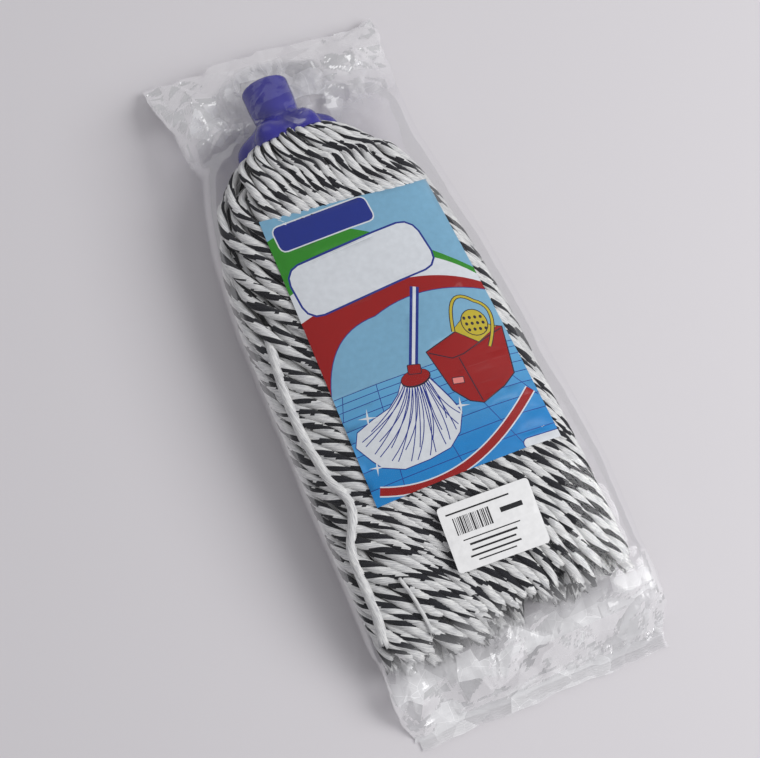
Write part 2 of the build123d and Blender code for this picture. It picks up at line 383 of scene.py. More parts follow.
def pack_strands():
    """Every strand's x and z at levels down the bundle, wound, jostled and kept apart."""
    levels = np.arange(SHOULDER_Y, -216.0, -LEVEL_STEP)
    shares = random.random(STRANDS)
    depths = random.random(STRANDS) ** 0.36 * 0.97
    active = np.ones(STRANDS)
    x, z = from_share(shares, depths, levels[0])
    x, z = relax(x, z, levels[0], 400, active)
    _, depth = to_share(x, z, levels[0])
    short = np.where(depth > 0.72, random.uniform(0, 15, STRANDS), random.uniform(4, 40, STRANDS))
    rows = [(x, z)]
    drift_x, drift_z = np.zeros(STRANDS), np.zeros(STRANDS)
    for above, y in zip(levels, levels[1:]):
        share, depth = to_share(x, z, above)
        share = share - (twist(y) - twist(above))
        x, z = from_share(share, depth * OUTWARD, y)
        drift_x = 0.75 * drift_x + random.normal(0, 0.50, STRANDS)
        drift_z = 0.75 * drift_z + random.normal(0, 0.28, STRANDS)
        active = active * (y > end_of_strand(x) + short)
        x, z = relax(x + drift_x, z + drift_z, y, 30, active)
        rows.append((x, z))
    grid = np.array(rows)  # level, x or z, strand
    for _ in range(2):
        grid[1:-1] = 0.25 * grid[:-2] + 0.5 * grid[1:-1] + 0.25 * grid[2:]
    return levels, grid[:, 0], grid[:, 1], short


def smooth_path(points, step):
    """A Catmull-Rom curve through the points, cut into pieces of about the step's length."""
    points = np.asarray(points, float)
    ends = np.vstack([2 * points[0] - points[1], points, 2 * points[-1] - points[-2]])
    fine = []
    share = np.linspace(0, 1, 9)[:-1, None]
    for p0, p1, p2, p3 in zip(ends, ends[1:], ends[2:], ends[3:]):
        fine.append(
            0.5
            * (
                2 * p1
                + (p2 - p0) * share
                + (2 * p0 - 5 * p1 + 4 * p2 - p3) * share**2
                + (3 * p1 - p0 - 3 * p2 + p3) * share**3
            )
        )
    fine = np.vstack(fine + [points[-1:]])
    along = np.concatenate([[0], np.cumsum(np.linalg.norm(np.diff(fine, axis=0), axis=1))])
    count = max(int(along[-1] / step), 2)
    even = np.linspace(0, along[-1], count + 1)
    return np.column_stack([np.interp(even, along, fine[:, k]) for k in range(3)]), even


def slow_noise(count, reach, amount):
    """Noise that changes over about reach samples."""
    knots = random.normal(0, amount, count // reach + 3)
    return np.interp(np.arange(count), np.arange(len(knots)) * reach, knots)


def dark_threads(count, white):
    """Which threads are dark at each ring: two groups that wander and widen along the strand."""
    dark = np.zeros((count, LOBES), int)
    if white:
        return dark
    for group in range(2):
        middle = 1 + LOBES / 2 * group + slow_noise(count, 5, 0.55)
        width = BLACK_WIDTH + slow_noise(count, 4, 0.95)
        offset = (np.arange(LOBES)[None, :] - middle[:, None] + LOBES / 2) % LOBES - LOBES / 2
        dark |= (np.abs(offset) < width[:, None] / 2).astype(int)
    return dark


def strand_mesh(path, along, radius, phase, per_lobe, white=False):
    """A twisted strand of threads round a path: points, quads, slots, UVs and its two caps."""
    count = len(path)
    tangent = np.gradient(path, axis=0)
    tangent /= np.linalg.norm(tangent, axis=1)[:, None]
    up = np.array([0, 0, 1.0]) - tangent[:, 2:3] * tangent
    up /= np.linalg.norm(up, axis=1)[:, None]
    side = np.cross(up, tangent)
    sides = LOBES * per_lobe
    turn = (np.arange(sides) / per_lobe) * 2 * math.pi / LOBES
    edge = np.arange(sides) % per_lobe == 0
    ply_edge = np.arange(sides) % (4 * per_lobe) == 0
    profile = 1.0 - 0.085 * edge * (per_lobe > 1) - 0.07 * ply_edge
    swell = np.column_stack([1 + slow_noise(count, 4, 0.028) for _ in range(LOBES)])
    angle = phase[:, None] + turn[None, :]
    reach = radius[:, None] * profile[None, :] * np.repeat(swell, per_lobe, axis=1)
    points = (
        path[:, None, :]
        + (reach * np.cos(angle))[..., None] * side[:, None, :]
        + (reach * np.sin(angle))[..., None] * up[:, None, :]
    )
    # The cut end is ragged: each thread stops at its own place and they spread a little.
    ragged = np.repeat(random.normal(0.6, 1.5, LOBES), per_lobe)
    for back, share, flare in ((1, 1.0, 1.16), (2, 0.45, 1.10), (3, 0.0, 1.05)):
        out = points[-back] - path[-back]
        points[-back] = path[-back] + flare * out + share * ragged[:, None] * tangent[-back]
    points = points.reshape(-1, 3)
    ring, j = np.meshgrid(np.arange(count - 1), np.arange(sides), indexing="ij")
    following = (j + 1) % sides
    a, b = ring * sides + j, ring * sides + following
    quads = np.stack([a, b, b + sides, a + sides], axis=-1).reshape(-1, 4)
    dark = dark_threads(count, white)
    slots = dark[ring, j // per_lobe].ravel()
    u0, u1 = along[ring] / 10, along[ring + 1] / 10
    v0, v1 = j / sides * 2, (j + 1) / sides * 2
    uvs = np.stack([u0, v0, u0, v1, u1, v1, u1, v0], axis=-1).reshape(-1, 4, 2)
    tips = np.array([path[0] - 0.4 * radius[0] * tangent[0], path[-1] - 1.2 * tangent[-1]])
    first_tip = len(points)
    points = np.vstack([points, tips])
    ring_of = np.arange(sides)
    top = np.stack([np.roll(ring_of, -1), ring_of, np.full(sides, first_tip)], axis=-1)
    last = (count - 1) * sides
    foot = np.stack(
        [last + ring_of, last + np.roll(ring_of, -1), np.full(sides, first_tip + 1)], axis=-1
    )
    cap_slots = np.concatenate([dark[0, ring_of // per_lobe], dark[-1, ring_of // per_lobe]])
    return points, quads, slots, uvs, np.vstack([top, foot]), cap_slots


class Batch:
    """Gathers strands into one mesh."""

    def __init__(self):
        self.points, self.faces, self.slots, self.uvs, self.count = [], [], [], [], 0

    def add(self, points, quads, slots, uvs, caps, cap_slots):
        self.points.append(points)
        self.faces.extend(list(quads + self.count))
        self.faces.extend(list(caps + self.count))
        self.slots.extend([slots, cap_slots])
        self.uvs.append(uvs.reshape(-1, 2))
        cap_uvs = np.tile(np.array([[0, 0], [0, 0.05], [0.05, 0.02]]), (len(caps), 1))
        self.uvs.append(cap_uvs)
        self.count += len(points)

    def make(self, name, materials):
        return make_object(
            name,
            np.vstack(self.points),
            self.faces,
            materials,
            np.concatenate(self.slots),
            np.vstack(self.uvs),
        )


def yarn_material(name, pale, deep, groove_shade_blend):
    """Soft cotton: fibres along the ply show as fine bumps, and painted shade darkens the colour in
    the grooves between them.
    """
    made, tree, shader = material(name)
    uv = tree.nodes.new("ShaderNodeUVMap")
    uv.uv_map = "UVMap"
    stretch = tree.nodes.new("ShaderNodeMapping")
    put(stretch, Scale=(1.6, 20.0, 1.0))
    tree.links.new(uv.outputs["UV"], stretch.inputs["Vector"])
    fibres = noise(tree, stretch.outputs["Vector"], 1.0, 3.0, 0.65)
    # The deep colour is painted shade: it sits where the fibre bumps are low, in the grooves.
    colour = ramp(tree, fibres, (0.30, deep), (0.30 + groove_shade_blend, pale))
    tree.links.new(colour, shader.inputs["Base Color"])
    roughened(tree, shader, fibres, 0.6, 0.0005)
    put(shader, Roughness=0.85, Specular_IOR_Level=0.25, Sheen_Weight=0.12, Sheen_Roughness=0.5)
    return made


def outward(x, z, y):
    """The direction, as an angle in the section's plane, that the outline faces beside x, z."""
    middle_x, a, b, middle_z = section(y)
    u, v = (x - middle_x) / a, (z - middle_z) / b
    power = BUNDLE_SQUARENESS - 1
    return math.atan2(
        math.copysign(abs(v) ** power, v) / b, math.copysign(abs(u) ** power, u) / a
    )


def ring_places(top_share, outer):
    """Where each outer strand leaves the skirt, and how deep in the ring it starts."""
    order = [i for i in np.argsort(top_share) if outer[i]]
    tucked = {i for k, i in enumerate(order) if k % TUCK_EVERY == TUCK_EVERY - 1}
    free = [i for i in order if i not in tucked]
    place = {i: k / len(free) for k, i in enumerate(free)}
    shift = np.mean([((place[i] - top_share[i] + 0.5) % 1.0) - 0.5 for i in free])
    place = {i: p - shift for i, p in place.items()}
    last = place[free[0]]
    for i in order:
        if i in tucked:
            place[i] = last + 0.5 / len(free)
        last = place[i]
    return place, tucked


def strand_points(i, levels, xs, zs, top_share, place, tucked):
    """A strand's points from the skirt over the shoulder and down the bundle."""
    points = []
    if i in place:
        start = place[i]
        change = (top_share[i] - start + 0.5) % 1.0 - 0.5
        deep = 0.22 if i in tucked else 0.0
        turn = 2 * math.pi * start
        for r, y in ((21.5, 157.0), (24.5, 153.5)):
            r = r - 12 * deep
            points.append((SOCKET_X + r * math.cos(turn), y, SOCKET_Z + r * math.sin(turn)))
        for y in (149.0, 147.0, 144.5, 141.0, 136.5, 132.0):
            part = ((149.0 - y) / (149.0 - SHOULDER_Y)) ** 0.8
            _, a, b, _ = section(y)
            depth = 1 - radius_at(y) / min(a, b) - deep * (1 - part)
            x, z = from_share(start + change * part, depth, y)
            points.append((x, y, z))
    else:
        x, z = xs[0, i], zs[0, i]
        points.append((0.6 * x + 0.4 * SOCKET_X, SHOULDER_Y + 10, 0.7 * z + 0.3 * SOCKET_Z))
    points.extend(zip(xs[:, i], levels, zs[:, i]))
    return np.array(points)


def cut_at(points, end):
    """The points above the strand's end, and the end itself."""
    lowest = np.searchsorted(-points[:, 1], -end)
    if lowest >= len(points):
        return points
    p, q = points[lowest - 1], points[lowest]
    part = (p[1] - end) / (p[1] - q[1])
    return np.vstack([points[:lowest], p + part * (q - p)])


def build_yarn():
    # Each yarn's second colour is painted shade for the grooves between its fibres.
    white = yarn_material("yarn_white", linear(238, 238, 235), linear(164, 165, 170), 0.30)
    black = yarn_material("yarn_black", linear(36, 37, 44), linear(10, 10, 14), 0.4)
    levels, xs, zs, short = pack_strands()
    top_share, top_depth = to_share(xs[0], zs[0], levels[0])
    outer = top_depth > 0.80
    place, tucked = ring_places(top_share, outer)
    batches = {}
    reference_y = 20.0
    for i in range(STRANDS):
        points = strand_points(i, levels, xs, zs, top_share, place, tucked)
        guess = np.interp(-180.0, points[::-1, 1], points[::-1, 0])
        points = cut_at(points, end_of_strand(guess) + short[i])
        shown = top_depth[i] > 0.62
        path, along = smooth_path(points, 2.5 if shown else 5.0)
        count = len(path)
        radius = radius_at(path[:, 1]) * (1 + slow_noise(count, 8, 0.03))
        # The phase is set so that the dark threads line up with the neighbours' ones.
        at = np.argmin(np.abs(path[:, 1] - reference_y))
        share_at, _ = to_share(path[at, 0], path[at, 2], path[at, 1])
        _, a, b, _ = section(path[at, 1])
        _, _, _, length = outline_table(a, b)
        across = -(share_at % 1.0 - 0.25) * length
        field = BAND_NORMAL[0] * across + BAND_NORMAL[1] * path[at, 1]
        phase = outward(path[at, 0], path[at, 2], path[at, 1]) + math.pi * field / BAND_SPACING
        phase = phase - 2 * math.pi * (along - along[at]) / (PITCH * random.uniform(0.9, 1.1))
        phase = phase + random.normal(0, 0.5) + np.cumsum(slow_noise(count, 6, 0.012))
        made = strand_mesh(path, along, radius, phase, 2 if shown else 1)
        if top_depth[i] > 0.52:
            name = f"outer_hank_{int(top_share[i] * 16) % 16 + 1:02d}"
        else:
            name = f"inner_hank_{int(top_share[i] * 6) % 6 + 1}"
        batches.setdefault(name, Batch()).add(*made)
    add_stray_strands(batches)
    for name, batch in sorted(batches.items()):
        piece = batch.make(name.replace("hank", "yarn"), [white, black])
        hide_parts(name)
        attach(piece, "mop_head")
    build_folded_yarn(white, black)


def add_stray_strands(batches):
    """A thick all-white strand along the left side, and a thin one across its foot."""
    thick = (
        (-70, 42), (-73, 22), (-75, 4), (-76, -14), (-76, -30), (-74, -46), (-72, -62),
        (-68, -72), (-66, -81), (-68, -89), (-72, -97), (-76, -106), (-77, -117), (-77, -135),
        (-77, -147), (-79, -163),
    )
    thin = ((-57, -134), (-54, -146), (-52, -158), (-51, -170))
    for route, radius, sink in ((thick, 3.1, 2.3), (thin, 1.2, -0.6)):
        sinks = np.full(len(route), sink)
        sinks[0] += 5.0 if radius > 2 else 0.0
        points = [(x, y, bundle_top(x, y) - depth) for (x, y), depth in zip(route, sinks)]
        path, along = smooth_path(points, 2.5)
        phase = -2 * math.pi * along / 90.0
        made = strand_mesh(path, along, np.full(len(path), radius), phase, 2, white=True)
        batches["outer_hank_08"].add(*made)


def build_folded_yarn(white, black):
    """The strands' fold inside the skirt, over the clamp plug."""
    batch = Batch()
    loops = 26
    for k in range(loops):
        turn = 2 * math.pi * k / loops
        rise = random.uniform(-0.5, 0.5)
        profile = ((22.6, 145.0), (21.6, 150.0), (19.0, 156.5 + rise), (14.0, 158.5 + rise),
                   (9.6, 156.0 + rise), (7.8, 150.0), (7.6, 145.5))
        points = [
            (SOCKET_X + r * math.cos(turn), y, SOCKET_Z + r * math.sin(turn)) for r, y in profile
        ]
        path, along = smooth_path(points, 1.6)
        radius = np.interp(along, (0, along[-1]), (2.3, 1.0))
        phase = turn * 3 - 2 * math.pi * along / PITCH
        batch.add(*strand_mesh(path, along, radius, phase, 1))
    piece = batch.make("folded_yarn_loops", [white, black])
    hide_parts("folded_yarn")
    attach(piece, "mop_head")


# ---- Socket and plug ----
def socket_material():
    """Moulded polypropylene: a semi-gloss blue with a fine grain and faint flow marks."""
    made, tree, shader = material("socket_plastic")
    place = tree.nodes.new("ShaderNodeTexCoord").outputs["Object"]
    flow = noise(tree, place, 45.0, 3.0)
    colour = ramp(tree, flow, (0.35, linear(34, 30, 128)), (0.7, linear(44, 40, 146)))
    tree.links.new(colour, shader.inputs["Base Color"])
    roughened(tree, shader, noise(tree, place, 900.0, 2.0), 0.12, 0.0002)
    put(shader, Roughness=0.27, Coat_Weight=0.25, Coat_Roughness=0.12)
    return made


def dress_socket():
    plastic = socket_material()
    for name in ("screw_socket", "clamp_plug"):
        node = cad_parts[name]
        node.data.materials.clear()
        node.data.materials.append(plastic)


# ---- Printed sheets ----
def arc(start, middle, end, steps=14):
    """Points along a smooth curve that passes through three points."""
    s = np.linspace(0, 1, steps + 1)[:, None]
    p0, p1, p2 = (np.array(p, float) for p in (start, middle, end))
    control = 2 * p1 - 0.5 * (p0 + p2)
    return [tuple(p) for p in (1 - s) ** 2 * p0 + 2 * s * (1 - s) * control + s**2 * p2]


def stroke(points, width):
    """The outline of a line of the given width through the points."""
    points = np.asarray(points, float)
    if np.ndim(width) == 0:
        width = np.full(len(points), width)
    along = np.gradient(points, axis=0)
    along /= np.linalg.norm(along, axis=1)[:, None]
    side = np.column_stack([-along[:, 1], along[:, 0]]) * (np.asarray(width) / 2)[:, None]
    return [tuple(p) for p in np.vstack([points + side, (points - side)[::-1]])]


def slanted_box(middle, width, height, turn, corner):
    """A rectangle with rounded corners, turned by an angle in degrees."""
    c, s = math.cos(math.radians(turn)), math.sin(math.radians(turn))
    outline = []
    for cx, cy, first in ((1, 1, 0), (-1, 1, 90), (-1, -1, 180), (1, -1, 270)):
        for step in (0, 30, 60, 90):
            a = math.radians(first + step)
            x = cx * (width / 2 - corner) + corner * math.cos(a)
            y = cy * (height / 2 - corner) + corner * math.sin(a)
            outline.append((middle[0] + c * x - s * y, middle[1] + s * x + c * y))
    return outline


def oval(middle, half_width, half_height, steps=20):
    return [
        (
            middle[0] + half_width * math.cos(2 * math.pi * k / steps),
            middle[1] + half_height * math.sin(2 * math.pi * k / steps),
        )
        for k in range(steps)
    ]


def grown(outline, amount):
    """The outline with every point moved out from its neighbours' line by the amount."""
    points = np.asarray(outline, float)
    following, before = np.roll(points, -1, axis=0), np.roll(points, 1, axis=0)
    along = following - before
    along /= np.maximum(np.linalg.norm(along, axis=1), 1e-9)[:, None]
    area = np.sum(points[:, 0] * following[:, 1] - points[:, 1] * following[:, 0])
    side = np.column_stack([along[:, 1], -along[:, 0]]) * math.copysign(amount, area)
    return [tuple(p) for p in points + side]


def inside(outline, point):
    """Whether the point is inside the outline, by the even-odd rule."""
    hit = False
    x, y = point
    for (x0, y0), (x1, y1) in zip(outline, outline[1:] + outline[:1]):
        if (y0 > y) != (y1 > y) and x < x0 + (y - y0) / (y1 - y0) * (x1 - x0):
            hit = not hit
    return hit


def printed_mesh(width, length, shapes, grid_step, border):
    """A flat sheet cut along every shape's edge: points, triangles and each one's colour.

    x runs to the right from 0 to width and y down from 0 to length. Later shapes are on top.
    """
    points = [Vector(p) for p in border]
    edges = [(k, (k + 1) % len(border)) for k in range(len(border))]
    for _, outline in shapes:
        first = len(points)
        clipped = [(min(max(x, 0), width), min(max(y, 0), length)) for x, y in outline]
        points.extend(Vector(p) for p in clipped)
        edges.extend((first + k, first + (k + 1) % len(clipped)) for k in range(len(clipped)))
    columns, rows = round(width / grid_step), round(length / grid_step)
    for i in range(1, columns):
        for j in range(1, rows):
            points.append(Vector((width * i / columns + 0.01, length * j / rows + 0.02)))
    flat, _, faces, *_ = delaunay_2d_cdt(points, edges, [], 0, 1e-4)
    flat = np.array([tuple(p) for p in flat])
    boxes = [
        (min(p[0] for p in o), max(p[0] for p in o), min(p[1] for p in o), max(p[1] for p in o))
        for _, o in shapes
    ]
    kept, colours = [], []
    for face in faces:
        middle = flat[list(face)].mean(axis=0)
        if not inside(border, middle):
            continue
        colour = 0
        for k in range(len(shapes) - 1, -1, -1):
            low_x, high_x, low_y, high_y = boxes[k]
            if low_x <= middle[0] <= high_x and low_y <= middle[1] <= high_y:
                if inside(shapes[k][1], middle):
                    colour = shapes[k][0]
                    break
        kept.append(list(face))
        colours.append(colour)
    return flat, kept, colours


def print_material(name, colour, second=None, fade=None):
    """Ink on coated paper: slight mottling, a satin gloss, and for a fade a colour by y."""
    made, tree, shader = material(name)
    place = tree.nodes.new("ShaderNodeTexCoord").outputs["Object"]
    mottle = noise(tree, place, 260.0, 4.0)
    darker = tuple(0.88 * c for c in colour[:3]) + (1.0,)
    ink = ramp(tree, mottle, (0.2, darker), (0.75, colour))
    if fade:
        split = tree.nodes.new("ShaderNodeSeparateXYZ")
        tree.links.new(place, split.inputs["Vector"])
        mix = tree.nodes.new("ShaderNodeMix")
        mix.data_type = "RGBA"
        mix.inputs["B"].default_value = second
        tree.links.new(mapped(tree, split.outputs["Y"], fade), mix.inputs["Factor"])
        tree.links.new(ink, mix.inputs["A"])
        ink = mix.outputs["Result"]
    tree.links.new(ink, shader.inputs["Base Color"])
    put(shader, Roughness=0.42, Specular_IOR_Level=0.3)
    return made


SKY, FLOOR, GREEN, WHITE, RED, NAVY, CYAN, YELLOW, DARK, PALE_RED = range(10)


def insert_materials():
    return [
        print_material("print_sky", linear(120, 169, 197)),
        print_material("print_floor", linear(20, 128, 196), linear(112, 174, 204), (-0.075, 0.0)),
        print_material("print_green", linear(44, 134, 30)),
        print_material("print_white", linear(214, 218, 222)),
        print_material("print_red", linear(150, 8, 6)),
        print_material("print_navy", linear(24, 44, 132)),
        print_material("print_cyan", linear(92, 196, 226)),
        print_material("print_yellow", linear(190, 172, 44)),
        print_material("print_dark", linear(34, 24, 44)),
        print_material("print_pale_red", linear(226, 130, 124)),
    ]


def tiled_floor():
    """A tiled floor from the horizon down, with its lines in perspective."""
    horizon = 123.0
    shapes = [(FLOOR, [(0, horizon), (INSERT_WIDTH, horizon), (INSERT_WIDTH, INSERT_LENGTH),
                       (0, INSERT_LENGTH)])]
    y, step = horizon, 4.2
    while y < INSERT_LENGTH - 1:
        shapes.append((NAVY, stroke([(0, y), (INSERT_WIDTH, y + 0.6)], 0.45)))
        y, step = y + step, step * 1.16
    edge = 0.4
    for k in range(-4, 9):
        top = 22 * k + 6
        foot = 1.75 * top - 30
        inner = [
            (top + share * (foot - top), horizon + share * (INSERT_LENGTH - horizon))
            for share in np.linspace(0, 1, 71)
            if edge < top + share * (foot - top) < INSERT_WIDTH - edge
        ]
        if len(inner) > 3:
            shapes.append((NAVY, stroke([inner[0], inner[-1]], 0.45)))
    return shapes


def coloured_bands():
    """The three bands that sweep across the sheet, and the pale arch under them."""
    right = INSERT_WIDTH
    top = arc((0, 14), (51, 21), (right, 69), 20)
    green_foot = arc((0, 52), (66, 45), (right, 74), 20)
    white_foot = arc((0, 71), (66, 64), (right, 80), 20)
    arch = arc((0, 120), (17, 92), (45, 82), 14) + arc((45, 82), (80, 77), (right, 86), 12)[1:]
    return [
        (GREEN, top + green_foot[::-1]),
        (WHITE, green_foot + white_foot[::-1]),
        (RED, white_foot + arch[::-1]),
        (NAVY, stroke(arch, 0.5)),
    ]


def blank_titles():
    """Two blank plates where a pack has its title."""
    small = slanted_box((39, 14), 66, 17, -3.0, 4.0)
    large = slanted_box((50, 49), 88, 31, -6.0, 8.0)
    return [
        (WHITE, grown(small, 0.9)),
        (NAVY, small),
        (NAVY, grown(large, 3.2)),
        (WHITE, large),
        (CYAN, grown(large, -1.2)),
        (WHITE, grown(large, -1.9)),
    ]


def drawn_mop():
    """A simple mop: a pole, a collar and a fan of strands."""
    pole = [(76, 72), (54, 120)]
    shapes = [(NAVY, stroke(pole, 5.6)), (WHITE, stroke(pole, 2.0))]
    fan = [(43, 127), (38, 134), (30, 140), (18, 143), (6, 147), (2, 155), (8, 166), (12, 172)]
    fan += [(24, 178), (40, 178), (54, 176), (63, 169), (69, 158), (66, 146), (62, 136), (60, 130)]
    shapes += [(NAVY, grown(fan, 0.6)), (WHITE, fan)]
    lines = 24
    for k in range(lines):
        share = k / (lines - 1)
        turn = math.pi * (0.98 - 0.90 * share)
        reach = 32 if k % 3 else 24
        end = (38 + reach * math.cos(turn), 148 + 0.88 * reach * math.sin(turn))
        start = (44 + 15 * share, 129)
        lean = 2.0 if k % 2 else -1.2
        bow = (0.60 * start[0] + 0.40 * end[0] + lean, 0.45 * start[1] + 0.55 * end[1])
        shapes.append((NAVY, stroke(arc(start, bow, end, 8), 0.6)))
    shapes += [
        (DARK, oval((52, 128), 9.6, 5.6)),
        (RED, oval((52, 127.6), 9.0, 4.8)),
        (DARK, slanted_box((53.5, 122.5), 8.6, 6.6, 15, 1.0)),
        (RED, slanted_box((53.5, 122.5), 7.6, 5.6, 15, 0.8)),
    ]
    return shapes


def drawn_bucket():
    """A simple square bucket with a wringer and a handle."""
    body = [(65, 115), (96, 106), (116, 113), (109, 145), (100, 151), (84, 157), (77, 153), (70, 143)]
    shapes = [
        (DARK, grown(body, 0.8)),
        (RED, body),
        (DARK, stroke([(66, 116), (78, 124), (86, 123.5), (115, 114)], 0.7)),
        (DARK, stroke([(82, 125), (84, 156)], 0.7)),
        (DARK, grown([(86, 107), (94, 102), (113, 112), (98, 119)], 0.6)),
        (YELLOW, [(86, 107), (94, 102), (113, 112), (98, 119)]),
        (DARK, oval((101, 106), 8.4, 9.4)),
        (YELLOW, oval((101, 106), 7.8, 8.8)),
    ]
    for k in range(4):
        for j in range(3):
            shapes.append((DARK, oval((96 + 3.4 * k, 101.5 + 4.2 * j + 0.6 * k), 1.0, 1.2, 8)))
    handle = arc((86, 108), (95, 88), (107, 92), 12) + arc((107, 92), (113, 104), (103, 124), 12)[1:]
    shapes += [(DARK, stroke(handle, 2.6)), (YELLOW, stroke(handle, 1.5))]
    shapes += [(DARK, slanted_box((75.5, 138.5), 7.4, 4.6, 12, 0.4))]
    shapes += [(PALE_RED, slanted_box((75.5, 138.5), 6.4, 3.6, 12, 0.3))]
    return shapes


def sparkle(middle, size):
    outline = []
    for k in range(8):
        reach = size if k % 2 == 0 else 0.16 * size
        a = math.pi * k / 4 + 0.25
        outline.append((middle[0] + reach * math.cos(a), middle[1] + reach * math.sin(a)))
    return (WHITE, outline)


def insert_shapes():
    shapes = tiled_floor() + coloured_bands() + blank_titles() + drawn_mop() + drawn_bucket()
    shapes += [sparkle((15, 141), 6.0), sparkle((70, 154), 6.0), sparkle((9, 171), 5.0)]
    band = arc((5, 185), (58, 190), (114, 158), 24)
    shapes += [(WHITE, stroke(band, 6.4)), (RED, stroke(band, 4.8))]
    shapes += [
        (NAVY, grown(slanted_box((108, 191.5), 26, 7.0, 0, 3.0), 0.6)),
        (WHITE, slanted_box((108, 191.5), 26, 7.0, 0, 3.0)),
    ]
    return shapes


def sheet_piece(name, flat, faces, colours, materials, to_space):
    """A sheet bent into place, with its faces turned up."""
    points = to_space(flat)
    up = []
    for face in faces:
        p, q, r = (points[k] for k in face[:3])
        up.append(face if np.cross(q - p, r - p)[2] > 0 else face[::-1])
    used = sorted({k for face in up for k in face})
    place = {k: n for n, k in enumerate(used)}
    up = [[place[k] for k in face] for face in up]
    return make_object(name, points[used], up, materials, colours)


def build_insert():
    def to_space(flat):
        u, v = flat[:, 0] / INSERT_WIDTH, flat[:, 1] / INSERT_LENGTH
        left, right = -49 - 4 * v, 58 + 9 * v
        x = left + (right - left) * u
        y = (104 - 10 * u) * (1 - v) - 91 * v
        z = np.array([bundle_top(a, b) for a, b in zip(x, y)]) + INSERT_LIFT
        curl = waves(np.column_stack([x, y, 0 * x]), 55.0, 9, 3) * 0.35
        return np.column_stack([x, y, z + curl])

    border = [(0, 0), (INSERT_WIDTH, 0), (INSERT_WIDTH, INSERT_LENGTH), (0, INSERT_LENGTH)]
    made = printed_mesh(INSERT_WIDTH, INSERT_LENGTH, insert_shapes(), 4.0, border)
    piece = sheet_piece("label_sheet", *made, insert_materials(), to_space)
    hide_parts("label_insert")
    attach(piece, "mop_head")


# ---- The film bag ----
def waves(points, length, count, seed):
    """Smooth noise at points: a sum of sine waves of about the length, in all directions."""
    draw = np.random.default_rng(seed)
    total = np.zeros(len(points))
    for _ in range(count):
        way = draw.normal(size=3)
        way *= 1 / np.linalg.norm(way) / (length * draw.uniform(0.7, 1.5))
        total += np.sin(2 * math.pi * (points @ way + draw.random()))
    return total / math.sqrt(count)


def creases(points, length, count, seed):
    """Faceted noise with sharp folds, about 0 to 1: triangle waves over bent coordinates."""
    draw = np.random.default_rng(seed)
    bend = np.column_stack([waves(points, 2.2 * length, 6, seed + k) for k in (1, 2, 3)])
    bent = points + 0.10 * length * bend
    total = np.zeros(len(points))
    for _ in range(count):
        way = draw.normal(size=3)
        way *= 1 / np.linalg.norm(way) / (length * draw.uniform(0.7, 1.5))
        turn = bent @ way + draw.random()
        total += np.abs(2 * (turn - np.floor(turn)) - 1)
    return total / count


def bag_section(y):
    ys = BAG[::-1, 0]
    return [np.interp(y, ys, BAG[::-1, k]) for k in (1, 2, 3, 4)]


def bag_ring(y, count):
    """Evenly spaced points round the bag's section at y, from +X anticlockwise."""
    middle_x, half_width, height, power = bag_section(y)
    turns = np.linspace(0, 2 * math.pi, 721)
    c, s = np.cos(turns), np.sin(turns)
    x = half_width * np.sign(c) * np.abs(c) ** (2 / power)
    z = height / 2 * np.sign(s) * np.abs(s) ** (2 / power)
    length = np.concatenate([[0], np.cumsum(np.hypot(np.diff(x), np.diff(z)))])
    even = np.linspace(0, length[-1], count, endpoint=False)
    x, z = np.interp(even, length, x), np.interp(even, length, z)
    return np.column_stack([middle_x + x, np.full(count, y), height / 2 + z])


def facets(around, y, spacing, seed):
    """Crumpled film: heights of -1 to 1 at scattered spots, joined by flat triangles.

    around is the way round the bag, from 0 to FILM_GIRTH, where it meets its own start.
    """
    draw = np.random.default_rng(seed)
    low, high = y.min() - spacing, y.max() + spacing
    count = int(FILM_GIRTH * (high - low) / spacing**2)
    spots = np.column_stack([draw.uniform(0, FILM_GIRTH, count), draw.uniform(low, high, count)])
    heights = draw.uniform(-1, 1, count)
    copies = np.vstack([spots, spots - [FILM_GIRTH, 0], spots + [FILM_GIRTH, 0]])
    near = (copies[:, 0] > -3 * spacing) & (copies[:, 0] < FILM_GIRTH + 3 * spacing)
    copies, heights = copies[near], np.tile(heights, 3)[near]
    flat, _, faces, origins, *_ = delaunay_2d_cdt([Vector(p) for p in copies], [], [], 0, 1e-4)
    height_of = np.array([heights[origin[0]] for origin in origins])
    flat = np.array([tuple(p) for p in flat])
    total = np.zeros(len(y))
    for face in faces:
        p, q, r = flat[list(face)]
        box = (around >= min(p[0], q[0], r[0])) & (around <= max(p[0], q[0], r[0]))
        box &= (y >= min(p[1], q[1], r[1])) & (y <= max(p[1], q[1], r[1]))
        at = np.flatnonzero(box)
        area = (q[0] - p[0]) * (r[1] - p[1]) - (r[0] - p[0]) * (q[1] - p[1])
        dx, dy = around[at] - p[0], y[at] - p[1]
        to_q = (dx * (r[1] - p[1]) - (r[0] - p[0]) * dy) / area
        to_r = ((q[0] - p[0]) * dy - dx * (q[1] - p[1])) / area
        hit = (to_q >= -1e-9) & (to_r >= -1e-9) & (to_q + to_r <= 1 + 1e-9)
        shares = np.column_stack([1 - to_q - to_r, to_q, to_r])[hit]
        total[at[hit]] = shares @ height_of[list(face)]
    return total


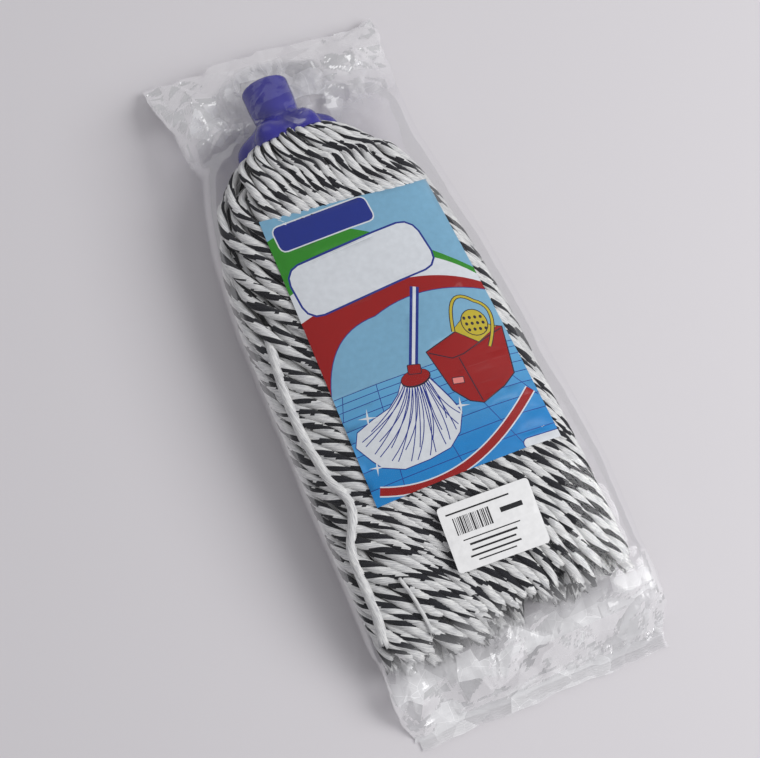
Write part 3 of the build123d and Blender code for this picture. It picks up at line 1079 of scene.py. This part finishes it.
def crumple(points, around):
    """How far the film's points move along their normals, in millimetres."""
    y = points[:, 1]
    upper_end = smooth_step((y - 145) / 22)
    lower_end = smooth_step((-158 - y) / 30)
    loose = np.clip(upper_end + lower_end, 0, 1)
    # The film lies smooth where the socket's neck holds it up.
    from_neck = np.hypot(points[:, 0] - SOCKET_X, 0.8 * (y - 186))
    loose = loose * (0.25 + 0.75 * smooth_step((from_neck - 12) / 18))
    move = np.zeros(len(points))
    ends = loose > 0
    for spacing, reach, seed in ((27.0, 4.2, 21), (13.0, 2.1, 31), (6.5, 0.85, 41)):
        move[ends] += loose[ends] * reach * facets(around[ends], y[ends], spacing, seed)
    long_way = points * np.array([1.0, 0.45, 1.0])
    move += (1 - loose) * 1.3 * (creases(long_way, 34.0, 3, 51) - 0.5)
    move += (1 - loose) * 0.2 * (creases(points, 10.0, 3, 41) - 0.5)
    return move


def film_material():
    """Clear polypropylene film: it shows what is under it, with a sharp gloss and a faint veil that
    is partly milkiness and partly painted reflection.
    """
    made = bpy.data.materials.new("clear_film")
    made.use_nodes = True
    tree = made.node_tree
    nodes, links = tree.nodes, tree.links
    nodes.clear()
    clear, gloss, veil = (
        nodes.new("ShaderNodeBsdf" + kind) for kind in ("Transparent", "Glossy", "Diffuse")
    )
    put(clear, Color=(0.985, 0.985, 0.99, 1.0))
    put(gloss, Color=(1.0, 1.0, 1.0, 1.0), Roughness=0.07)
    put(veil, Color=(0.97, 0.97, 0.98, 1.0))
    # It is hazier where it is crumpled, at the bag's two empty ends: this haze is partly the film's
    # milkiness and partly a painted reflection of the light off its creased facets.
    place = nodes.new("ShaderNodeTexCoord").outputs["Object"]
    split = nodes.new("ShaderNodeSeparateXYZ")
    links.new(place, split.inputs["Vector"])
    ends = [mapped(tree, split.outputs["Y"], span) for span in ((0.158, 0.192), (-0.168, -0.196))]
    crumpled = combined(tree, "MAXIMUM", *ends)
    # It lies clear and smooth over the socket's neck.
    neck = nodes.new("ShaderNodeVectorMath")
    neck.operation = "DISTANCE"
    neck.inputs[1].default_value = (SOCKET_X * MM, 0.184, 0.054)
    links.new(place, neck.inputs[0])
    off_neck = mapped(tree, neck.outputs["Value"], (0.025, 0.042))
    crumpled = combined(tree, "MULTIPLY", crumpled, off_neck)
    # The film reflects more at a slant, but never as much as a solid sheet.
    fresnel = nodes.new("ShaderNodeLayerWeight")
    put(fresnel, Blend=0.36)
    shine = mapped(tree, fresnel.outputs["Fresnel"], (0.0, 1.0), (0.0, 0.32))
    for where, change in ((crumpled, (1.0, 2.0)), (off_neck, (0.15, 1.0))):
        shine = combined(tree, "MULTIPLY", shine, mapped(tree, where, (0.0, 1.0), change))
    # Bright and dull patches of veil paint the reflections off the crumpled facets.
    painted_sheen_patches = voronoi(tree, place, 62.0)
    amount = mapped(tree, painted_sheen_patches, (0.0, 1.0), (0.16, 0.74))
    some = mapped(tree, painted_sheen_patches, (0.3, 0.7), (0.1, 1.0))
    # Painted highlights: thin white lines of veil stand in for the glints along its creases.
    for scale, width, strength in ((55.0, 0.026, 0.9), (130.0, 0.040, 0.8)):
        edge = voronoi(tree, place, scale, "DISTANCE_TO_EDGE")
        line = mapped(tree, edge, (0.0, width), (strength, 0.0))
        amount = combined(tree, "MAXIMUM", amount, combined(tree, "MULTIPLY", line, some))
    haze_and_painted_sheen = combined(tree, "MULTIPLY", crumpled, amount)
    shader = clear.outputs["BSDF"]
    for share, over in (
        (mapped(tree, haze_and_painted_sheen, (0.0, 1.0), (0.003, 1.0)), veil),
        (shine, gloss),
    ):
        mix = nodes.new("ShaderNodeMixShader")
        links.new(share, mix.inputs["Fac"])
        links.new(shader, mix.inputs[1])
        links.new(over.outputs["BSDF"], mix.inputs[2])
        shader = mix.outputs["Shader"]
    links.new(shader, nodes.new("ShaderNodeOutputMaterial").inputs["Surface"])
    return made


def mouth_shift(x):
    """How far the mouth's edge stands past its line: the left corner is pulled out."""
    return 1.5 - 4.5 * x / 78 + 2.5 * np.clip(np.abs(x) / 78, 0, 1) ** 4


def build_film(film):
    columns = 236
    ys = np.concatenate(
        [np.arange(226, 150, -1.3), np.arange(150, -158, -2.6), np.arange(-158, WELD_Y, -1.3)]
    )
    ys = np.append(ys, WELD_Y)
    rings = np.stack([bag_ring(y, columns) for y in ys])
    around = np.roll(rings, -1, axis=1) - np.roll(rings, 1, axis=1)
    along = np.gradient(rings, axis=0)
    normal = np.cross(along, around)
    normal /= np.linalg.norm(normal, axis=-1)[..., None]
    middle = rings.mean(axis=1, keepdims=True)
    normal *= np.sign(np.sum(normal * (rings - middle), axis=-1, keepdims=True) + 1e-9)
    points, normal = rings.reshape(-1, 3), normal.reshape(-1, 3)
    around = np.tile(np.arange(columns) * FILM_GIRTH / columns, len(ys))
    moved = points + crumple(points, around)[:, None] * normal
    near_mouth = smooth_step((moved[:, 1] - 170) / 50)
    moved[:, 1] += near_mouth * mouth_shift(moved[:, 0])
    flat_z = 0.8 * np.where(points[:, 2] > bag_section_height(points[:, 1]) / 2, 1.4, 0.4)
    moved[:, 2] += smooth_step((-212 - points[:, 1]) / 7) * (flat_z - moved[:, 2])
    moved[:, 2] = np.maximum(moved[:, 2], 0.15)
    ring, j = np.meshgrid(np.arange(len(ys) - 1), np.arange(columns), indexing="ij")
    a, b = ring * columns + j, ring * columns + (j + 1) % columns
    quads = np.stack([a, a + columns, b + columns, b], axis=-1).reshape(-1, 4)
    piece = make_object("clear_bag", moved, quads, [film])
    middle_y = moved[quads].mean(axis=1)[:, 1]
    smooth = (middle_y < 158) & (middle_y > -168)  # the crumpled ends have hard creases
    piece.data.polygons.foreach_set("use_smooth", smooth)
    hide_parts("bag_film")
    ride_bag(piece)
    weld = build_weld(film)


def bag_section_height(y):
    return np.interp(y, BAG[::-1, 0], BAG[::-1, 3])


def ride_bag(piece):
    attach(piece, "bag")
    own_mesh(piece)


def build_weld(film):
    """The welded strip: two films pressed into fine ribs, with a wavy cut edge."""
    columns, rows = 300, 14
    x_share, y_share = np.meshgrid(np.linspace(-1, 1, columns), np.linspace(0, 1, rows))
    x = x_share * 80.6
    y = WELD_Y + (BAG_END_Y - WELD_Y) * y_share
    y = y + 0.7 * y_share * np.sin(x / 9.0) + 0.4 * y_share * np.sin(x / 3.7)
    ribs = 0.22 * np.sin(2 * math.pi * y_share * 4.5) * (y_share > 0.1)
    flat = np.column_stack([x.ravel(), y.ravel(), np.zeros(x.size)])
    lift = 0.75 + ribs.ravel() + 1.3 * creases(flat, 9.0, 3, 71) * y_share.ravel()
    points = np.column_stack([x.ravel(), y.ravel(), np.maximum(lift, 0.3)])
    ring, j = np.meshgrid(np.arange(rows - 1), np.arange(columns - 1), indexing="ij")
    a = ring * columns + j
    quads = np.stack([a + 1, a, a + columns, a + columns + 1], axis=-1).reshape(-1, 4)
    piece = make_object("weld_strip", points, quads, [film])
    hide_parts("bag_weld")
    ride_bag(piece)
    return piece


# ---- The sticker ----
def sticker_shapes():
    """Plain bars and rules where a price sticker has its print."""
    shapes = []
    x = 7.0
    draw = np.random.default_rng(5)
    while x < 30.0:
        width = draw.choice([0.35, 0.35, 0.7, 1.05])
        shapes.append((1, [(x, 8.5), (x + width, 8.5), (x + width, 19.0), (x, 19.0)]))
        x += width + draw.choice([0.4, 0.4, 0.75])
    for left, right, y, height in (
        (4, 44, 5.6, 1.0), (36, 50, 13.0, 3.0), (9, 45, 22.6, 0.7),
        (12, 42, 25.9, 1.3), (12, 40, 29.4, 1.1), (10, 42, 32.8, 1.1), (14, 38, 35.8, 0.8),
    ):
        box = [(left, y - height / 2), (right, y - height / 2), (right, y + height / 2),
               (left, y + height / 2)]
        shapes.append((1, box))
    return shapes


def bag_top(x, y):
    middle_x, half_width, height, power = bag_section(y)
    u = np.clip(np.abs((x - middle_x) / half_width), 0, 1)
    return height / 2 * (1 + (1 - u**power) ** (1 / power))


def build_sticker():
    turn = math.radians(STICKER_TURN)

    def to_space(flat):
        across, down = flat[:, 0] - STICKER_WIDTH / 2, flat[:, 1] - STICKER_LENGTH / 2
        x = STICKER_MIDDLE[0] + across * math.cos(turn) + down * math.sin(turn)
        y = STICKER_MIDDLE[1] - down * math.cos(turn) + across * math.sin(turn)
        z = np.array([bag_top(a, b) for a, b in zip(x, y)]) + 1.1
        return np.column_stack([x, y, z])

    paper = print_material("sticker_paper", linear(236, 236, 236))
    ink = print_material("sticker_ink", linear(26, 26, 30))
    corner = 2.2
    border = slanted_box(
        (STICKER_WIDTH / 2, STICKER_LENGTH / 2), STICKER_WIDTH, STICKER_LENGTH, 0, corner
    )
    made = printed_mesh(STICKER_WIDTH, STICKER_LENGTH, sticker_shapes(), 2.0, border)
    piece = sheet_piece("price_label", *made, [paper, ink], to_space)
    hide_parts("price_sticker")
    ride_bag(piece)


place_camera()
set_stage()
dress_socket()
build_yarn()
build_insert()
build_film(film_material())
build_sticker()
